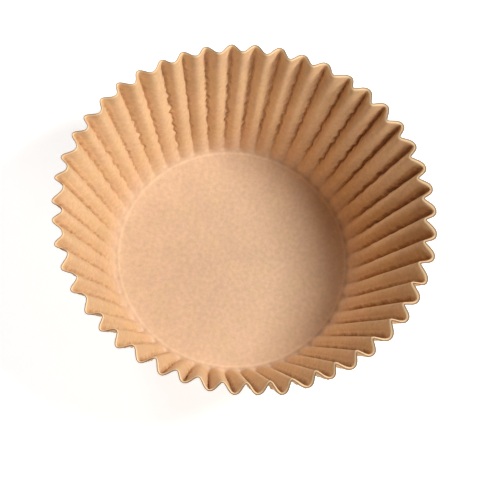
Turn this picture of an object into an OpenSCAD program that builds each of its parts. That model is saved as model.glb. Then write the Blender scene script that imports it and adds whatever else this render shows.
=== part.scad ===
// Fluted paper liner for one cupcake, pressed from a flat disc of brown kraft paper.
// The middle of the disc stays flat as the base, and the ring round it is folded up into
// a flared wall. The rim is shorter than the disc's edge was, so pleats take up the spare
// paper: none at the base's edge, and more of it all the way up to the rim.
// The origin is the centre of the base's underside, and +Z runs up through the open rim.

/* [Base] */
// Diameter of the flat base, where the bend up to the wall begins
base_d = 50; // [40:1:60]
// Radius of the bend between base and wall, at the middle of the paper
bend_r = 0.8; // [0.5:0.1:4]

/* [Wall] */
// Diameter of the rim, midway between the inner and outer folds
rim_d = 79; // [68:0.5:90]
// Height of the rim, midway between the inner and outer folds
height = 31; // [22:0.5:38]

/* [Pleats] */
// Number of pleats round the wall
pleats = 48; // [36:2:54]
// Share of the spare paper's depth that the pleats use, the rest going into fine crimps
pleat_fill = 0.85; // [0.5:0.05:1]
// How much narrower the outer folds are than the inner ones
outer_pinch = 0.2; // [0:0.01:0.25]
// How far the folds are drawn from a soft wave towards a crisp zigzag
crispness = 0.05; // [0:0.01:0.11]

/* [Paper] */
// Thickness of the paper
paper_t = 0.1; // [0.06:0.01:0.2]

/* [Hidden] */
kraft = [0.84, 0.66, 0.48];

// Whole number of pleats, so that the last one meets the first
pleat_count = round(pleats);
// Points across each pleat, and steps up the bend and up the wall above it
pleat_points = 8;
bend_steps = 2;
wall_steps = 4;
steps = bend_steps + wall_steps;
ring_points = pleat_count * pleat_points;
// Distance along the paper and angle round the ring over which its slope is measured
probe_dist = 0.01;
probe_angle = 0.01;

// The wall is a straight line from the rim, tangent to the bend's arc. Both are given in
// section, as [distance from the axis, height], with the middle of the base's paper at zero.
base_r = base_d / 2;
bend_centre = [base_r, bend_r];
to_rim = [rim_d / 2, height] - bend_centre;
slope = atan2(to_rim.y, to_rim.x) + asin(bend_r / norm(to_rim));
bend_dist = bend_r * slope * PI / 180;
// Length of paper from the base's edge to the cut edge
wall_dist = bend_dist + sqrt(norm(to_rim) ^ 2 - bend_r ^ 2);

// Angle between the section and the base, at a distance along the paper from the base's edge
function lean(dist) = slope * max(0, min(1, dist / bend_dist));

// Point of the section there, before the pleats are pressed in
function section(dist) =
    dist <= 0 ? [base_r + dist, 0]
    : bend_centre + bend_r * [sin(lean(dist)), -cos(lean(dist))]
        + max(0, dist - bend_dist) * [cos(slope), sin(slope)];

// Depth from inner to outer fold there. The flat disc is wider round than the section is,
// and a zigzag that uses up the difference is as deep as the third side of a right triangle.
function pleat_depth(dist) =
    dist <= 0 ? 0
    : pleat_fill * PI / pleat_count * sqrt((base_r + dist) ^ 2 - section(dist).x ^ 2);

// Wave of unit depth across one pleat, for a turn of 0 to 360 from its outer fold
function wave(turn) =
    (cos(turn) + outer_pinch * cos(2 * turn) + crispness * cos(3 * turn)) / (2 + 2 * crispness);

// Middle of the paper at a distance along it and an angle round the axis
function middle(dist, angle) =
    let (push = pleat_depth(dist) * wave(pleat_count * angle),
         r = section(dist).x + push * sin(lean(dist)),
         z = section(dist).y - push * cos(lean(dist)))
    [r * cos(angle), r * sin(angle), z + paper_t / 2];

// Direction square to the paper there, towards the inside of the cup
function inward(dist, angle) =
    let (rise = middle(dist + probe_dist, angle) - middle(dist - probe_dist, angle),
         turn = middle(dist, angle + probe_angle) - middle(dist, angle - probe_angle),
         square = cross(rise, turn))
    square / norm(square);

// Distance along the paper to a ring of points, in even steps up the bend and then the wall
function ring_dist(ring) =
    ring < bend_steps ? bend_dist * ring / bend_steps
    : bend_dist + (wall_dist - bend_dist) * (ring - bend_steps) / wall_steps;

// Points on one face of the paper, ring by ring: side is -1 for the outside, 1 for the inside
function face_points(side) =
    [for (ring = [0:steps], i = [0:ring_points - 1])
        let (dist = ring_dist(ring), angle = 360 * i / ring_points)
        middle(dist, angle) + side * paper_t / 2 * inward(dist, angle)];

// Number of point i of a ring, counted round the ring and on past its end
function outer(ring, i) = ring * ring_points + i % ring_points;
function inner(ring, i) = outer(steps + 1 + ring, i);

// Two triangles between points a and b, and c and d above them, clockwise from in front
function quad(a, b, c, d) = [[a, c, d], [a, d, b]];

// Sheet of paper with its pleats, closed round the cut edge
module liner() {
    outside = [for (ring = [0:steps - 1], i = [0:ring_points - 1])
        each quad(outer(ring, i), outer(ring, i + 1), outer(ring + 1, i), outer(ring + 1, i + 1))];
    inside = [for (ring = [0:steps - 1], i = [0:ring_points - 1])
        each quad(inner(ring, i + 1), inner(ring, i), inner(ring + 1, i + 1), inner(ring + 1, i))];
    cut_edge = [for (i = [0:ring_points - 1])
        each quad(outer(steps, i), outer(steps, i + 1), inner(steps, i), inner(steps, i + 1))];
    underside = [for (i = [0:ring_points - 1]) outer(0, i)];
    upperside = [for (i = [ring_points - 1:-1:0]) inner(0, i)];
    color(kraft)
        polyhedron(concat(face_points(-1), face_points(1)),
                   concat(outside, inside, cut_edge, [underside, upperside]));
}

liner();
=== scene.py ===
import math

import bmesh
import bpy
import numpy as np
from mathutils import Matrix, Vector, noise


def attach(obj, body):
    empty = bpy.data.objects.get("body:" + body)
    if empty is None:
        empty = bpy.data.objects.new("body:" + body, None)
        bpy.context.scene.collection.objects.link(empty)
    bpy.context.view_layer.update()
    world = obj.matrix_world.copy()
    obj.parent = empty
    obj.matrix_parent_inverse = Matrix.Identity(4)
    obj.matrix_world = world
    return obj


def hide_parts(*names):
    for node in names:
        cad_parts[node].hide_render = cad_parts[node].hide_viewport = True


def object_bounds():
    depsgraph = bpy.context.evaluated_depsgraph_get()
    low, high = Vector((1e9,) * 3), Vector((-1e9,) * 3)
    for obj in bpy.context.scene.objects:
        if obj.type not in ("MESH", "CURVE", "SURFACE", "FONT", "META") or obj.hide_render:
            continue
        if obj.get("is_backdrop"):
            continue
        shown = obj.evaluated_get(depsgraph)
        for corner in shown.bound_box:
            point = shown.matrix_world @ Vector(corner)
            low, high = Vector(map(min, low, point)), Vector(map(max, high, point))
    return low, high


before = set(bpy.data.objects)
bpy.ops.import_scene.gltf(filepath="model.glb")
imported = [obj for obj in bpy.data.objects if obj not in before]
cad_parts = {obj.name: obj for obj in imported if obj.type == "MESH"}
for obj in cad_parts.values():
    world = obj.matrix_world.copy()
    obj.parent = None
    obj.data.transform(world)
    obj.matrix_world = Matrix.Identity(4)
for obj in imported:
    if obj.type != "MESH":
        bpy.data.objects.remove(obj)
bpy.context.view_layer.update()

MM = 0.001
FULL_TURN = 2 * math.pi

# Sizes of the liner, in metres, those of the part's source
BASE_R = 25 * MM
BEND_R = 0.8 * MM
RIM_R = 39.5 * MM
HEIGHT = 31 * MM
PLEATS = 48
PAPER = 0.1 * MM
# Share of the spare paper's depth that the pleats use, the rest going into fine crimps
PLEAT_FILL = 0.84

# Straight wall from the rim, tangent to the bend round the base's edge, and its paper's length
TO_RIM_R = RIM_R - BASE_R
TO_RIM_Z = HEIGHT - BEND_R
TO_RIM = math.hypot(TO_RIM_R, TO_RIM_Z)
SLOPE = math.atan2(TO_RIM_Z, TO_RIM_R) + math.asin(BEND_R / TO_RIM)
BEND_DIST = BEND_R * SLOPE
WALL_DIST = BEND_DIST + math.sqrt(TO_RIM**2 - BEND_R**2)

# How much deeper the pleats are on one side than on average, the direction of that side, and the
# share of the difference that is gone at the rim
UNEVEN = 0.26
DEEP_SIDE = math.radians(-22)
RIM_EVEN = 0.8

# How much narrower the outer folds are than the inner ones, and how crisp both are, on the wall
# and at the rim, with the share of the wall over which they change
WALL_PINCH = 0.17
WALL_CRISPNESS = 0.06
RIM_CRISPNESS = -0.02
RIM_BAND = 0.12
# Share by which the rim's outer folds open up on one side of the liner and close on the other
RIM_OPEN = 0.13
OPEN_SIDE = math.radians(-10)

# Depth that the pleats have already where they leave the base, the paper over which they get it,
# and the share of the wall up which the push that makes room for it fades
START_DEPTH = 0.55 * MM
START_DIST = 1.0 * MM
START_FADE = 0.5

# Narrow groove along each outer fold: its depth, its half width as an angle of the pleat's turn,
# and the share of the wall up which it gets that depth
GROOVE = 0.55 * MM
GROOVE_TURN = 0.4
GROOVE_FULL = 1 / 3

# Lip that turns outwards along the cut edge: its paper, how far it turns, and the share by which
# it stands out less at right angles to the open side, and twice that opposite it
LIP = 0.95 * MM
LIP_TURN = math.radians(80)
LIP_UNEVEN = 0.35

# Columns of points across one pleat, before they are doubled, and how far they are drawn to the
# outer folds, where the paper bends most
POINTS = 7
BUNCH = 0.5
# Rings of points up the wall, closest at its foot, and up the lip, before they are doubled
WALL_RINGS = 28
RING_SPREAD = 1.3
LIP_RINGS = 3
RINGS = WALL_RINGS + LIP_RINGS

# Rings of the base, as radius and drop below its edge: the band inside the edge, then the flat middle
BAND_RISE = 0.3 * MM
BASE_RINGS = (
    (24.8 * MM, 0.02 * MM),
    (24.4 * MM, 0.12 * MM),
    (24.1 * MM, 0.15 * MM),
    (22.4 * MM, 0.25 * MM),
    (21.4 * MM, BAND_RISE),
    (14 * MM, BAND_RISE),
    (7 * MM, BAND_RISE),
    (2 * MM, BAND_RISE),
)
# Points closer than this are merged
MERGE_DIST = PAPER / 20

# How uneven the press leaves the folds at the rim: their shift round the ring, with the power of
# the height with which it grows, and their push in or out
FOLD_SHIFT = math.radians(0.34)
SHIFT_GROWTH = 0.7
FOLD_PUSH = 0.13 * MM
# How uneven the cut edge is, and the power of the height with which that grows
CUT_WOBBLE = 0.12 * MM
CUT_GROWTH = 8
# Crimps that run across the outer folds: shift round the ring, push, lengths of their waves, what
# each fold's own length and strength range between, and the share of the wall at which they end
CRIMP_SHIFT = 0.75 * MM
CRIMP_PUSH = 0.3 * MM
CRIMP_WAVES = (1.8 * MM, 2.6 * MM, 4.4 * MM)
CRIMP_LENGTHS = (0.75, 1.3)
CRIMP_STRENGTHS = (0.2, 1)
CRIMP_END = 1 / 1.1
# Soft dents of the flanks, their depth and size
DENT = 0.05 * MM
DENT_SIZE = 7 * MM
# Lean of the rim, and how far it is from round
LEAN = Vector((0.8, -1.2, 0)) * MM
OVAL = 0.015
# Slow waves of the rim's height: how many go round, their height, and the angle that each starts at
RIM_WAVES = (
    (2, 0.25 * MM, 1),
    (3, 0.15 * MM, 4),
)
SEED = 7

# Small part of a turn over which the slope of a pleat's flank is measured
STEP = 0.01
# Edges that bend less than this are shaded smooth
SMOOTH_ANGLE = math.radians(75)

# Every grain is given as its size and how many finer layers it has, each of this strength against
# the one before, and its lows and highs are these
LAYER_STRENGTH = 0.6
GRAIN_RANGE = (0.3, 0.7)

# Colours of the paper on the base and on the wall, each drifting between two hues
BASE_COLOURS = (0.75, 0.51, 0.345), (0.75, 0.525, 0.33)
WALL_COLOURS = (0.75, 0.475, 0.27), (0.75, 0.49, 0.255)
HUE_GRAIN = (5 * MM, 3)
HUE_RANGE = (0.35, 0.65)
# Share of the wall up which the base's colour gives way to the wall's
WALL_COLOUR_END = 0.2

# Mottling and fibres, and what they multiply the colour by at the grain's lows and highs
MOTTLE_GRAIN = (7 * MM, 4)
MOTTLE_SHADES = (0.955, 1.045)
FIBRE_GRAIN = (0.9 * MM, 4)
FIBRE_SHADES = (0.915, 1.085)
# Dark specks, in the grain's topmost range, and pale hairs, along its middle level
SPECK_GRAIN = (0.6 * MM, 1)
SPECK_RANGE = (0.7, 0.78)
SPECK_SHADES = (1, 0.86)
HAIR_GRAIN = (1.6 * MM, 0)
HAIR_CURL = 1.5
HAIR_LEVEL = 0.5
HAIR_WIDTH = 0.02
HAIR_SHADES = (1.05, 1)

# Painted highlight as a pale line on the base's edge, and painted shade as a faint dark line in the
# corner at the wall's foot: the radius of each, its half width, the distance from its middle at which
# it has faded out, and what it multiplies the colour by
EDGE_HIGHLIGHT_LINE = (BASE_R - 0.15 * MM, 0.1 * MM, 0.35 * MM, 1.1)
FOOT_SHADE_LINE = (BASE_R + 0.5 * MM, 0.1 * MM, 0.4 * MM, 0.93)

# Painted shade in the creases, darkening the colour where shade falls in the folds: what it multiplies
# the colour by, the mark's values from which it starts and is full, and the grain that makes it ragged,
# with the least and most that it adds to the mark
CREASE_SHADE_TINT = (0.76, 0.64, 0.54)
CREASE_MARK = (0.6, 1.05)
CREASE_GRAIN = (1.3 * MM, 3)
CREASE_RAGGED = (-0.3, 0.24)
# How strong the mark is on the outside, against 1 on the inside
OUTSIDE_MARK = 0.75
# Shares of the wall between which the painted crease shade and the crumples begin, and between which
# they end
CREASE_BEGIN = (0.02, 0.25)
CREASE_END = (0.93, 0.985)

# Painted highlight on the lip, a pale colour where the rim catches light, and painted shade on the
# brown cut edge, standing in for the rim's shaded
# outer side: their colours, the shares of the wall between which they begin, and how much of the
# paper's own colour they cover
LIP_HIGHLIGHT_COLOUR = (0.93, 0.68, 0.4)
LIP_HIGHLIGHT_BEGIN = (0.974, 0.98)
CUT_SHADE_COLOUR = (0.22, 0.11, 0.05)
CUT_SHADE_BEGIN = (0.99, 0.993)
EDGE_COVER = 0.9

# Fine bumps of the paper, and crumples along the creases: their grain, height and strength, and
# the mark's values from which the crumples start and are full
FINE_GRAIN = (0.5 * MM, 5)
FINE_HEIGHT = 0.05 * MM
FINE_STRENGTH = 0.25
CRUMPLE_GRAIN = (1.3 * MM, 2)
CRUMPLE_HEIGHT = 0.8 * MM
CRUMPLE_STRENGTH = 0.6
CRUMPLE_MARK = (0.3, 0.9)
PAPER_ROUGHNESS = 0.85
PAPER_SHINE = 0.3

# Floor: its width, how far it lies below the liner, its grey, and its glow to the eye
FLOOR_WIDTH = 8
FLOOR_DROP = 0.05 * MM
FLOOR_GREY = 0.85
FLOOR_ROUGHNESS = 0.9
FLOOR_GLOW = 0.7
# Light that reaches the paper from all round
AMBIENT = 0.06
# Farthest thing that the camera shows
VIEW_END = 20


def ease(part):
    """Smooth step from 0 to 1."""
    part = np.clip(part, 0, 1)
    return part * part * (3 - 2 * part)


def lean_at(dist):
    """Angle between the section and the base, at a distance along the paper from the base's edge."""
    return SLOPE * np.clip(dist / BEND_DIST, 0, 1)


def section(dist):
    """Point of the section there, as distance from the axis and height."""
    angle = lean_at(dist)
    straight = np.maximum(0, dist - BEND_DIST)
    r = BASE_R + BEND_R * np.sin(angle) + straight * math.cos(SLOPE)
    z = BEND_R - BEND_R * np.cos(angle) + straight * math.sin(SLOPE)
    return r, z


def pleat_depth(dist):
    """Depth from inner to outer fold there, from the paper that the flat disc had to spare."""
    spare = (BASE_R + dist) ** 2 - section(dist)[0] ** 2
    folded = PLEAT_FILL * math.pi / PLEATS * np.sqrt(np.maximum(0, spare))
    return np.hypot(folded, START_DEPTH * ease(dist / START_DIST))


def below_rim(rise):
    """1 on the wall, easing to 0 at the cut edge over the band where the folds soften."""
    return ease((1 - rise) / RIM_BAND)


def fold_wave(turn, angle, rise):
    """Wave of unit depth across one pleat, for an angle of 0 to one turn from its outer fold."""
    wall_share = below_rim(rise)
    rim_pinch = -RIM_OPEN * np.cos(angle - OPEN_SIDE)
    pinch = rim_pinch + (WALL_PINCH - rim_pinch) * wall_share
    crispness = RIM_CRISPNESS + (WALL_CRISPNESS - RIM_CRISPNESS) * wall_share
    folds = np.cos(turn) + pinch * np.cos(2 * turn) + crispness * np.cos(3 * turn)
    return folds / (2 + 2 * crispness)


def ring_dist(ring):
    """Distance along the paper from the base's edge to a ring of points, up the wall and the lip."""
    if ring <= WALL_RINGS:
        return (WALL_DIST - LIP) * (ring / WALL_RINGS) ** RING_SPREAD
    return WALL_DIST - LIP * (RINGS - ring) / LIP_RINGS


def deselect():
    bpy.ops.object.select_all(action="DESELECT")


def only(obj):
    """Makes obj the one selected and active object."""
    deselect()
    obj.select_set(True)
    bpy.context.view_layer.objects.active = obj


def apply_modifier(obj, kind, **settings):
    only(obj)
    modifier = obj.modifiers.new(kind.title(), kind)
    for name, value in settings.items():
        setattr(modifier, name, value)
    bpy.ops.object.modifier_apply(modifier=modifier.name)


def extrude_ring(before, after):
    """Extrudes the selected ring from one radius and height to the next."""
    bpy.ops.mesh.extrude_edges_move(TRANSFORM_OT_translate={"value": (0, 0, after[1] - before[1])})
    factor = after[0] / before[0]
    bpy.ops.transform.resize(value=(factor, factor, 1), center_override=(0, 0, 0))


def raise_section():
    """Circle at the base's edge, extruded ring by ring up the wall's section, without pleats."""
    deselect()
    bpy.ops.mesh.primitive_circle_add(vertices=PLEATS * POINTS, radius=BASE_R, fill_type="NOTHING")
    obj = bpy.context.object
    obj.name = "paper_liner"
    bpy.ops.object.mode_set(mode="EDIT")
    bpy.ops.mesh.select_all(action="SELECT")
    before = (BASE_R, 0)
    for ring in range(1, RINGS + 1):
        after = section(ring_dist(ring))
        extrude_ring(before, after)
        before = after
    bpy.ops.object.mode_set(mode="OBJECT")
    return obj


def select_base_edge(obj):
    """Selects the lower one of the open edges, in edit mode."""
    bpy.ops.mesh.select_mode(type="VERT")
    bpy.ops.mesh.select_all(action="DESELECT")
    bm = bmesh.from_edit_mesh(obj.data)
    for v in bm.verts:
        v.select_set(v.is_boundary and v.co.z < HEIGHT / 2)
    bm.select_flush(True)
    bmesh.update_edit_mesh(obj.data)


def fill_base(obj):
    """Rings extruded inwards from the base's edge and merged at its centre, the inner ones lower."""
    only(obj)
    bpy.ops.object.mode_set(mode="EDIT")
    select_base_edge(obj)
    before = (BASE_R, 0)
    for r, drop in BASE_RINGS:
        extrude_ring(before, (r, -drop))
        before = (r, -drop)
    bpy.ops.mesh.merge(type="CENTER")
    bpy.ops.mesh.select_all(action="SELECT")
    bpy.ops.transform.translate(value=(0, 0, BAND_RISE + PAPER / 2))
    bpy.ops.mesh.remove_doubles(threshold=MERGE_DIST)
    bpy.ops.mesh.normals_make_consistent(inside=False)
    bpy.ops.object.mode_set(mode="OBJECT")


def read_points(obj):
    points = np.zeros(len(obj.data.vertices) * 3, np.float32)
    obj.data.vertices.foreach_get("co", points)
    return points.reshape(-1, 3).astype(float)


def read_mark(obj, name):
    values = np.zeros(len(obj.data.vertices), np.float32)
    obj.data.attributes[name].data.foreach_get("value", values)
    return values


def write_mark(obj, name, values):
    mark = obj.data.attributes.get(name) or obj.data.attributes.new(name, "FLOAT", "POINT")
    mark.data.foreach_set("value", values.astype(np.float32))


def note_rings(obj):
    """Keeps each point's distance along the paper, as a share of the wall's, for later steps."""
    heights = [section(ring_dist(ring))[1] + BAND_RISE + PAPER / 2 for ring in range(RINGS + 1)]
    shares = [ring_dist(ring) / WALL_DIST for ring in range(RINGS + 1)]
    write_mark(obj, "rise", np.interp(read_points(obj)[:, 2], heights, shares))


def uneven(random, spread, angle):
    """Random values of that spread, one a fold, eased from each fold to the next round the ring."""
    values = random.normal(0, spread, 2 * PLEATS)
    place = angle / FULL_TURN * len(values)
    low = np.floor(place).astype(int)
    part = ease(place - low)
    return values[low % len(values)] * (1 - part) + values[(low + 1) % len(values)] * part


def crimps(pleat, dist, random):
    """Waves up each outer fold, between -1 and 1, with lengths and starts of its own."""
    total = np.zeros(len(dist))
    for length in CRIMP_WAVES:
        lengths = length * random.uniform(*CRIMP_LENGTHS, PLEATS)
        starts = random.uniform(0, FULL_TURN, PLEATS)
        strengths = random.uniform(*CRIMP_STRENGTHS, PLEATS)
        total += strengths[pleat] * np.sin(FULL_TURN * dist / lengths[pleat] + starts[pleat])
    return total / len(CRIMP_WAVES)


def groove_push(turn, rise, deeper):
    """Push outwards along the middle of each outer fold, more where the pleats are deeper."""
    off_fold = (turn + math.pi) % FULL_TURN - math.pi
    across = np.exp(-(off_fold / GROOVE_TURN) ** 2)
    return GROOVE * deeper**2 * across * ease(rise / GROOVE_FULL) * below_rim(rise)


def lip_curl(dist, angle, flank):
    """How far the curling lip goes outwards, and how far it falls short along the paper."""
    curl = LIP_TURN * np.clip(1 - (WALL_DIST - dist) / LIP, 0, 1)
    share = 1 - LIP_UNEVEN + LIP_UNEVEN * np.cos(angle - OPEN_SIDE)
    out = share * LIP / LIP_TURN * (1 - np.cos(curl)) / np.hypot(1, flank)
    along = LIP / LIP_TURN * (np.sin(curl) - curl)
    return out, along


def press_pleats(obj):
    """Moves the points of the plain wall into its folds, as real paper lies, fold by fold."""
    random = np.random.default_rng(SEED)
    points = read_points(obj)
    rise = read_mark(obj, "rise")
    dist = rise * WALL_DIST
    on_wall = rise > 0
    r = np.hypot(points[:, 0], points[:, 1])
    z = points[:, 2]
    angle = np.arctan2(points[:, 1], points[:, 0]) % FULL_TURN
    angle -= BUNCH * np.sin(PLEATS * angle) / PLEATS * on_wall
    turn = PLEATS * angle

    # The even pleats and their flanks' slope, and the mark on the folds that the painted crease shade
    # and the crumples read, stronger where the pleats are deeper
    deeper = 1 + UNEVEN * np.cos(angle - DEEP_SIDE)
    depth = pleat_depth(dist) * (1 + (deeper - 1) * (1 - RIM_EVEN * rise**2))
    steps = fold_wave(turn + STEP, angle, rise) - fold_wave(turn - STEP, angle, rise)
    flank = depth * steps / (2 * STEP) * PLEATS / np.maximum(r, BASE_R)
    folds = np.cos(turn) * on_wall
    write_mark(obj, "fold", folds * np.sqrt(deeper))

    # Crimps across the outer folds, strongest halfway up, and dents
    pleat = np.round(angle / FULL_TURN * PLEATS).astype(int) % PLEATS
    near_fold = np.sin(math.pi * np.clip(rise / CRIMP_END, 0, 1)) * np.clip(folds, 0, 1) ** 2
    crimp = crimps(pleat, dist, random) * near_fold
    dent = np.array([noise.noise(Vector(p) / DENT_SIZE) for p in points]) * rise

    # Push square to the paper, then the shift round the ring and the shift along the paper
    lip, lip_drop = lip_curl(dist, angle, flank)
    push = depth * fold_wave(turn, angle, rise) * on_wall
    push += groove_push(turn, rise, deeper)
    push += START_DEPTH / 2 * ease(dist / START_DIST) * (1 - ease(rise / START_FADE))
    push += lip
    push += uneven(random, FOLD_PUSH, angle) * rise
    push += CRIMP_PUSH * crimp + DENT * dent
    shift = uneven(random, FOLD_SHIFT, angle) * rise**SHIFT_GROWTH
    shift += (CRIMP_SHIFT * crimp - flank * lip) / np.maximum(r, BASE_R)
    along = uneven(random, CUT_WOBBLE, angle) * rise**CUT_GROWTH + lip_drop
    for count, height, start in RIM_WAVES:
        along += height * np.sin(count * angle + start) * rise**2

    lean = lean_at(dist)
    r += push * np.sin(lean) + along * np.cos(lean)
    z += -push * np.cos(lean) + along * np.sin(lean)
    angle += shift
    points[:, 0] = r * np.cos(angle) * (1 + OVAL * rise) + LEAN.x * rise
    points[:, 1] = r * np.sin(angle) * (1 - OVAL * rise) + LEAN.y * rise
    points[:, 2] = z
    obj.data.vertices.foreach_set("co", points.astype(np.float32).ravel())
    obj.data.update()


def note_valleys(obj):
    """Turns the mark on the folds into one on the valleys, as each face of the paper has its own, for
    the painted crease shade and the crumples.
    """
    points = read_points(obj)
    normals = np.zeros(len(points) * 3, np.float32)
    obj.data.vertex_normals.foreach_get("vector", normals)
    normals = normals.reshape(-1, 3)
    outwards = points[:, 0] * normals[:, 0] + points[:, 1] * normals[:, 1] > 0
    folds = read_mark(obj, "fold")
    write_mark(obj, "fold", np.where(outwards, -OUTSIDE_MARK * folds, folds))
    obj.data.attributes["fold"].name = "valley"


def paper_liner():
    """The sheet of paper: a plain bowl first, then its folds, and then its thickness."""
    obj = raise_section()
    apply_modifier(obj, "SUBSURF", levels=1, render_levels=1)
    fill_base(obj)
    note_rings(obj)
    press_pleats(obj)
    apply_modifier(obj, "SOLIDIFY", thickness=PAPER, offset=0, use_even_offset=True)
    only(obj)
    bpy.ops.object.mode_set(mode="EDIT")
    bpy.ops.mesh.select_all(action="SELECT")
    bpy.ops.mesh.normals_make_consistent(inside=False)
    bpy.ops.object.mode_set(mode="OBJECT")
    note_valleys(obj)
    bpy.ops.object.shade_smooth_by_angle(angle=SMOOTH_ANGLE)
    return obj


class Nodes:
    """Shader nodes of one material, or of the world, made by short calls."""

    def __init__(self, owner):
        owner.use_nodes = True
        self.nodes = owner.node_tree.nodes
        self.links = owner.node_tree.links

    def put(self, socket, value):
        """Sets a socket to a number or a colour, or links it to another socket."""
        if isinstance(value, bpy.types.NodeSocket):
            self.links.new(value, socket)
        elif isinstance(value, tuple):
            socket.default_value = (*value, 1)
        else:
            socket.default_value = value

    def math(self, operation, *values):
        node = self.nodes.new("ShaderNodeMath")
        node.operation = operation
        for socket, value in zip(node.inputs, values):
            self.put(socket, value)
        return node.outputs["Value"]

    def product(self, first, *others):
        """All the values multiplied together."""
        for other in others:
            first = self.math("MULTIPLY", first, other)
        return first

    def off(self, value, middle):
        """How far the value is from the middle, either way."""
        return self.math("ABSOLUTE", self.math("SUBTRACT", value, middle))

    def ramp(self, value, start, end, low=0, high=1):
        """Goes from low to high as the value goes from start to end."""
        node = self.nodes.new("ShaderNodeMapRange")
        for name, number in (("From Min", start), ("From Max", end), ("To Min", low), ("To Max", high)):
            node.inputs[name].default_value = number
        self.links.new(value, node.inputs["Value"])
        return node.outputs["Result"]

    def place(self):
        """Place in the object's own space."""
        return self.nodes.new("ShaderNodeTexCoord").outputs["Object"]

    def grain(self, size, layers, curl=0):
        """Noise of about 0.5 in the object's own space, with grains of that size."""
        node = self.nodes.new("ShaderNodeTexNoise")
        node.inputs["Scale"].default_value = 1 / size
        node.inputs["Detail"].default_value = layers
        node.inputs["Roughness"].default_value = LAYER_STRENGTH
        node.inputs["Distortion"].default_value = curl
        self.links.new(self.place(), node.inputs["Vector"])
        return node.outputs["Fac"]

    def radius(self):
        """Distance from the axis."""
        flat = self.nodes.new("ShaderNodeVectorMath")
        flat.operation = "MULTIPLY"
        flat.inputs[1].default_value = (1, 1, 0)
        self.links.new(self.place(), flat.inputs[0])
        length = self.nodes.new("ShaderNodeVectorMath")
        length.operation = "LENGTH"
        self.links.new(flat.outputs["Vector"], length.inputs[0])
        return length.outputs["Value"]

    def attribute(self, name):
        node = self.nodes.new("ShaderNodeAttribute")
        node.attribute_name = name
        return node.outputs["Fac"]

    def mix(self, factor, a, b, blend="MIX"):
        node = self.nodes.new("ShaderNodeMix")
        node.data_type = "RGBA"
        node.blend_type = blend
        self.put(node.inputs["Factor"], factor)
        # A Mix node has several sockets of each name, and the colour ones have these numbers
        self.put(node.inputs[6], a)
        self.put(node.inputs[7], b)
        return node.outputs[2]

    def bump(self, height, strength, distance):
        node = self.nodes.new("ShaderNodeBump")
        node.inputs["Strength"].default_value = strength
        node.inputs["Distance"].default_value = distance
        self.links.new(height, node.inputs["Height"])
        return node

    def seen_rays(self):
        """1 for rays from the eye, off a shine or through glass, and 0 for the light that bounces."""
        path = self.nodes.new("ShaderNodeLightPath")
        seen = path.outputs["Is Camera Ray"]
        for ray in ("Is Glossy Ray", "Is Transmission Ray"):
            seen = self.math("MAXIMUM", seen, path.outputs[ray])
        return seen


def grain_and_painted_lines(paper):
    """What the paper's own colour is multiplied by: mottling, fibres, specks and hairs, then a painted
    highlight line on the base's edge and a painted shade line at the wall's foot.
    """
    mottle = paper.ramp(paper.grain(*MOTTLE_GRAIN), *GRAIN_RANGE, *MOTTLE_SHADES)
    fibre = paper.ramp(paper.grain(*FIBRE_GRAIN), *GRAIN_RANGE, *FIBRE_SHADES)
    speck = paper.ramp(paper.grain(*SPECK_GRAIN), *SPECK_RANGE, *SPECK_SHADES)
    off_hair = paper.off(paper.grain(*HAIR_GRAIN, HAIR_CURL), HAIR_LEVEL)
    hair = paper.ramp(off_hair, 0, HAIR_WIDTH, *HAIR_SHADES)
    radius = paper.radius()
    painted_lines = []
    # Painted highlight on the base's edge, and painted shade in the corner at the wall's foot
    for middle, half, end, shade in (EDGE_HIGHLIGHT_LINE, FOOT_SHADE_LINE):
        painted_lines.append(paper.ramp(paper.off(radius, middle), half, end, shade, 1))
    return paper.product(mottle, fibre, speck, hair, *painted_lines)


def kraft_paper():
    """Brown kraft paper: soft mottling, fibres and specks, with painted shade in the creases, at the
    wall's foot and on the dark cut edge, and painted highlights on the paler lip and the base's edge.
    """
    material = bpy.data.materials.new("kraft_paper")
    paper = Nodes(material)
    shader = paper.nodes["Principled BSDF"]
    shader.inputs["Roughness"].default_value = PAPER_ROUGHNESS
    shader.inputs["Specular IOR Level"].default_value = PAPER_SHINE

    rise = paper.attribute("rise")
    valley = paper.attribute("valley")
    on_crease = paper.product(paper.ramp(rise, *CREASE_BEGIN), paper.ramp(rise, *CREASE_END, 1, 0))
    ragged = paper.ramp(paper.grain(*CREASE_GRAIN), *GRAIN_RANGE, *CREASE_RAGGED)
    # Mask of the painted shade in the creases: the valley mark, made ragged by a grain
    crease_shade = paper.product(paper.ramp(paper.math("ADD", valley, ragged), *CREASE_MARK), on_crease)

    hue = paper.ramp(paper.grain(*HUE_GRAIN), *HUE_RANGE)
    base = paper.mix(hue, *BASE_COLOURS)
    wall = paper.mix(hue, *WALL_COLOURS)
    colour = paper.mix(paper.ramp(rise, 0, WALL_COLOUR_END), base, wall)
    colour = paper.mix(1, colour, grain_and_painted_lines(paper), "MULTIPLY")
    # Painted shade: the paper's colour darkened in the creases, where shade falls in the folds
    colour = paper.mix(crease_shade, colour, paper.mix(1, colour, CREASE_SHADE_TINT, "MULTIPLY"))
    # Painted highlight on the lip, then painted shade on the brown cut edge
    for begin, painted_edge_colour in ((LIP_HIGHLIGHT_BEGIN, LIP_HIGHLIGHT_COLOUR), (CUT_SHADE_BEGIN, CUT_SHADE_COLOUR)):
        colour = paper.mix(paper.product(paper.ramp(rise, *begin), EDGE_COVER), colour, painted_edge_colour)
    paper.put(shader.inputs["Base Color"], colour)

    fine = paper.bump(paper.grain(*FINE_GRAIN), FINE_STRENGTH, FINE_HEIGHT)
    near_crease = paper.product(paper.ramp(valley, *CRUMPLE_MARK), on_crease)
    crumple = paper.product(paper.grain(*CRUMPLE_GRAIN), near_crease)
    crumpled = paper.bump(crumple, CRUMPLE_STRENGTH, CRUMPLE_HEIGHT)
    paper.put(crumpled.inputs["Normal"], fine.outputs["Normal"])
    paper.put(shader.inputs["Normal"], crumpled.outputs["Normal"])
    return material


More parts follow.
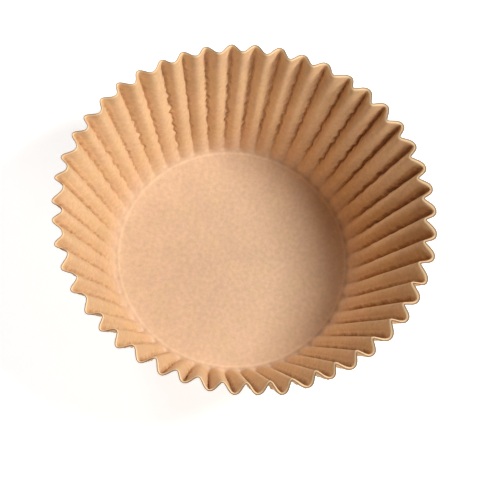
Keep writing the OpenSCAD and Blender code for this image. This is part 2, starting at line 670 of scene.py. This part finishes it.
def pale_floor():
    """Plain white floor with a glow of its own to the eye, so that it looks white and keeps shadows."""
    deselect()
    bpy.ops.mesh.primitive_plane_add(size=FLOOR_WIDTH, location=(0, 0, -FLOOR_DROP))
    floor = bpy.context.object
    floor.name = "floor"
    material = bpy.data.materials.new("white_floor")
    paint = Nodes(material)
    shader = paint.nodes["Principled BSDF"]
    shader.inputs["Roughness"].default_value = FLOOR_ROUGHNESS
    paint.put(shader.inputs["Base Color"], (FLOOR_GREY, FLOOR_GREY, FLOOR_GREY))
    paint.put(shader.inputs["Emission Color"], (1, 1, 1))
    paint.put(shader.inputs["Emission Strength"], paint.product(paint.seen_rays(), FLOOR_GLOW))
    floor.data.materials.append(material)
    floor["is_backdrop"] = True


def white_world():
    """Even white light from all round, dim on the paper and plain white to the eye."""
    world = bpy.data.worlds.new("white_world")
    bpy.context.scene.world = world
    sky = Nodes(world)
    back = sky.nodes["Background"]
    sky.put(back.inputs["Color"], (1, 1, 1))
    sky.put(back.inputs["Strength"], sky.ramp(sky.seen_rays(), 0, 1, AMBIENT, 1))


def direction(azimuth, elevation):
    """Unit vector to a point seen at that azimuth, counted from +X, and elevation, in degrees."""
    a = math.radians(azimuth)
    e = math.radians(elevation)
    return Vector((math.cos(a) * math.cos(e), math.sin(a) * math.cos(e), math.sin(e)))


def soft_lamp(name, azimuth, elevation, distance, width, power):
    """Round lamp that shines at the liner, with its distance and width in metres, power in watts."""
    data = bpy.data.lights.new(name, "AREA")
    data.shape = "DISK"
    data.size = width
    data.energy = power
    lamp = bpy.data.objects.new(name, data)
    bpy.context.scene.collection.objects.link(lamp)
    towards = direction(azimuth, elevation)
    lamp.location = towards * distance
    lamp.rotation_euler = towards.to_track_quat("Z", "Y").to_euler()
    lamp.visible_camera = False


def camera(azimuth, elevation, roll, distance, width):
    """Camera that sees width metres across at the object's middle, turned by roll against the clock."""
    lo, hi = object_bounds()
    middle = (lo + hi) / 2
    data = bpy.data.cameras.new("camera")
    data.angle = 2 * math.atan(width / 2 / distance)
    data.clip_end = VIEW_END
    cam = bpy.data.objects.new("camera", data)
    bpy.context.scene.collection.objects.link(cam)
    back = direction(azimuth, elevation)
    level = back.to_track_quat("Z", "Y").to_matrix().to_4x4()
    rolled = level @ Matrix.Rotation(math.radians(roll), 4, "Z")
    cam.matrix_world = Matrix.Translation(middle + back * distance) @ rolled
    bpy.context.scene.camera = cam


liner = paper_liner()
liner.data.materials.append(kraft_paper())
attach(liner, "root")
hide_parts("liner")

pale_floor()
white_world()
soft_lamp("key_lamp", azimuth=15, elevation=51, distance=1.1, width=0.37, power=11.8)
soft_lamp("fill_lamp", azimuth=-66, elevation=25, distance=1.4, width=0.6, power=5.8)
soft_lamp("back_lamp", azimuth=138, elevation=30, distance=1.4, width=0.45, power=4.6)
camera(azimuth=-90, elevation=69.5, roll=11.8, distance=1.136, width=104 * MM)
bpy.context.scene.view_settings.view_transform = "Standard"
